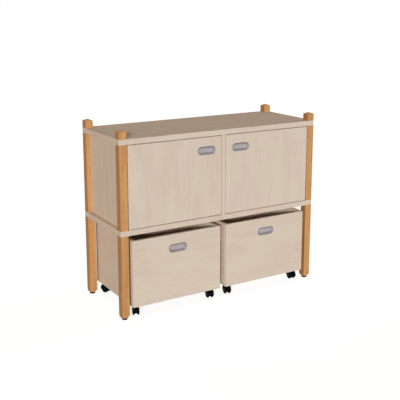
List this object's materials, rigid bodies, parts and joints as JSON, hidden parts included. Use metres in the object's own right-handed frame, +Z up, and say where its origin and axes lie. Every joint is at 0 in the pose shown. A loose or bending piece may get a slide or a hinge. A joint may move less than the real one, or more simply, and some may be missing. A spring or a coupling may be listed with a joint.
{
  "type": "two-door cupboard",
  "caption": "Low cupboard on square posts with a top board, two hinged doors with recessed grips, and open-topped boxes on casters that roll out from under the shelf.",
  "frame": {"origin": "on the floor under the middle of the cupboard's box", "axes": "+Z up, +X along the front to the right, +Y to the back; the doors and boxes open towards -Y"},
  "size_m": [1.06, 0.4012, 0.859],
  "materials": {
    "beech_wood": "clear lacquered solid beech, satin",
    "maple_board": "maple-decor melamine faced chipboard with matching edge band, satin",
    "grip_plastic": "moulded grey plastic, satin",
    "caster_plastic": "moulded black nylon, semi-matte",
    "glide_plastic": "moulded dark brown plastic, matte",
    "white_plastic": "moulded white nylon, matte",
    "zinc_steel": "bright zinc-plated steel"
  },
  "bodies": {
    "root": {"leg_front_left": "beech_wood", "leg_front_right": "beech_wood", "leg_rear_left": "beech_wood", "leg_rear_right": "beech_wood", "post_front_left": "beech_wood", "post_front_right": "beech_wood", "post_rear_left": "beech_wood", "post_rear_right": "beech_wood", "post_heads": "beech_wood", "glides": "glide_plastic", "connector_studs": "zinc_steel", "panel_dowels": "beech_wood", "middle_shelf": "maple_board", "top_board": "maple_board", "side_panel_left": "maple_board", "side_panel_right": "maple_board", "divider": "maple_board", "back_panel": "maple_board", "hinge_bushes": "white_plastic", "magnetic_catches": "white_plastic"},
    "door_left": {"door_left": "maple_board", "door_grip_left": "grip_plastic", "hinge_pins_left": "zinc_steel", "strike_plate_left": "zinc_steel"},
    "door_right": {"door_right": "maple_board", "door_grip_right": "grip_plastic", "hinge_pins_right": "zinc_steel", "strike_plate_right": "zinc_steel"},
    "left_box": {"left_box_front": "maple_board", "left_box_back": "maple_board", "left_box_left_side": "maple_board", "left_box_right_side": "maple_board", "left_box_bottom": "maple_board", "left_box_grip": "grip_plastic", "left_box_caster_plates": "zinc_steel", "left_box_caster_screws": "zinc_steel"},
    "left_box_swivel_front_left": {"left_box_caster_front_left": "caster_plastic"},
    "left_box_wheel_front_left": {"left_box_wheels_front_left": "caster_plastic"},
    "left_box_swivel_front_right": {"left_box_caster_front_right": "caster_plastic"},
    "left_box_wheel_front_right": {"left_box_wheels_front_right": "caster_plastic"},
    "left_box_swivel_rear_left": {"left_box_caster_rear_left": "caster_plastic"},
    "left_box_wheel_rear_left": {"left_box_wheels_rear_left": "caster_plastic"},
    "left_box_swivel_rear_right": {"left_box_caster_rear_right": "caster_plastic"},
    "left_box_wheel_rear_right": {"left_box_wheels_rear_right": "caster_plastic"},
    "right_box": {"right_box_front": "maple_board", "right_box_back": "maple_board", "right_box_left_side": "maple_board", "right_box_right_side": "maple_board", "right_box_bottom": "maple_board", "right_box_grip": "grip_plastic", "right_box_caster_plates": "zinc_steel", "right_box_caster_screws": "zinc_steel"},
    "right_box_swivel_front_left": {"right_box_caster_front_left": "caster_plastic"},
    "right_box_wheel_front_left": {"right_box_wheels_front_left": "caster_plastic"},
    "right_box_swivel_front_right": {"right_box_caster_front_right": "caster_plastic"},
    "right_box_wheel_front_right": {"right_box_wheels_front_right": "caster_plastic"},
    "right_box_swivel_rear_left": {"right_box_caster_rear_left": "caster_plastic"},
    "right_box_wheel_rear_left": {"right_box_wheels_rear_left": "caster_plastic"},
    "right_box_swivel_rear_right": {"right_box_caster_rear_right": "caster_plastic"},
    "right_box_wheel_rear_right": {"right_box_wheels_rear_right": "caster_plastic"}
  },
  "joints": [
    {"name": "left_door_hinge", "type": "hinge", "parent": "root", "child": "door_left", "pos_m": [-0.477, -0.1924, 0.603], "axis": [0, 0, -1], "range_deg": [0, 110]},
    {"name": "right_door_hinge", "type": "hinge", "parent": "root", "child": "door_right", "pos_m": [0.477, -0.1924, 0.603], "axis": [0, 0, 1], "range_deg": [0, 110]},
    {"name": "left_box_pull", "type": "slide", "parent": "root", "child": "left_box", "axis": [0, -1, 0], "range_m": [0, 0.45]},
    {"name": "left_box_swivel_front_left_turn", "type": "hinge", "parent": "left_box", "child": "left_box_swivel_front_left", "pos_m": [-0.442, -0.1484, 0.051], "axis": [0, 0, 1], "continuous": true},
    {"name": "left_box_wheel_front_left_roll", "type": "hinge", "parent": "left_box_swivel_front_left", "child": "left_box_wheel_front_left", "pos_m": [-0.4461, -0.15968, 0.02], "axis": [0.9397, -0.342, 0], "continuous": true},
    {"name": "left_box_swivel_front_right_turn", "type": "hinge", "parent": "left_box", "child": "left_box_swivel_front_right", "pos_m": [-0.05, -0.1484, 0.051], "axis": [0, 0, 1], "continuous": true},
    {"name": "left_box_wheel_front_right_roll", "type": "hinge", "parent": "left_box_swivel_front_right", "child": "left_box_wheel_front_right", "pos_m": [-0.05249, -0.16014, 0.02], "axis": [0.9781, -0.2079, 0], "continuous": true},
    {"name": "left_box_swivel_rear_left_turn", "type": "hinge", "parent": "left_box", "child": "left_box_swivel_rear_left", "pos_m": [-0.442, 0.1496, 0.051], "axis": [0, 0, 1], "continuous": true},
    {"name": "left_box_wheel_rear_left_roll", "type": "hinge", "parent": "left_box_swivel_rear_left", "child": "left_box_wheel_rear_left", "pos_m": [-0.44669, 0.16065, 0.02], "axis": [-0.9205, -0.3907, 0], "continuous": true},
    {"name": "left_box_swivel_rear_right_turn", "type": "hinge", "parent": "left_box", "child": "left_box_swivel_rear_right", "pos_m": [-0.05, 0.1496, 0.051], "axis": [0, 0, 1], "continuous": true},
    {"name": "left_box_wheel_rear_right_roll", "type": "hinge", "parent": "left_box_swivel_rear_right", "child": "left_box_wheel_rear_right", "pos_m": [-0.05208, 0.16142, 0.02], "axis": [-0.9848, -0.1736, 0], "continuous": true},
    {"name": "right_box_pull", "type": "slide", "parent": "root", "child": "right_box", "axis": [0, -1, 0], "range_m": [0, 0.45]},
    {"name": "right_box_swivel_front_left_turn", "type": "hinge", "parent": "right_box", "child": "right_box_swivel_front_left", "pos_m": [0.05, -0.1484, 0.051], "axis": [0, 0, 1], "continuous": true},
    {"name": "right_box_wheel_front_left_roll", "type": "hinge", "parent": "right_box_swivel_front_left", "child": "right_box_wheel_front_left", "pos_m": [0.0471, -0.16004, 0.02], "axis": [0.9703, -0.2419, 0], "continuous": true},
    {"name": "right_box_swivel_front_right_turn", "type": "hinge", "parent": "right_box", "child": "right_box_swivel_front_right", "pos_m": [0.442, -0.1484, 0.051], "axis": [0, 0, 1], "continuous": true},
    {"name": "right_box_wheel_front_right_roll", "type": "hinge", "parent": "right_box_swivel_front_right", "child": "right_box_wheel_front_right", "pos_m": [0.44075, -0.16033, 0.02], "axis": [0.9945, -0.1045, 0], "continuous": true},
    {"name": "right_box_swivel_rear_left_turn", "type": "hinge", "parent": "right_box", "child": "right_box_swivel_rear_left", "pos_m": [0.05, 0.1496, 0.051], "axis": [0, 0, 1], "continuous": true},
    {"name": "right_box_wheel_rear_left_roll", "type": "hinge", "parent": "right_box_swivel_rear_left", "child": "right_box_wheel_rear_left", "pos_m": [0.04689, 0.16119, 0.02], "axis": [-0.9659, -0.2588, 0], "continuous": true},
    {"name": "right_box_swivel_rear_right_turn", "type": "hinge", "parent": "right_box", "child": "right_box_swivel_rear_right", "pos_m": [0.442, 0.1496, 0.051], "axis": [0, 0, 1], "continuous": true},
    {"name": "right_box_wheel_rear_right_roll", "type": "hinge", "parent": "right_box_swivel_rear_right", "child": "right_box_wheel_rear_right", "pos_m": [0.4379, 0.16088, 0.02], "axis": [-0.9397, -0.342, 0], "continuous": true}
  ]
}
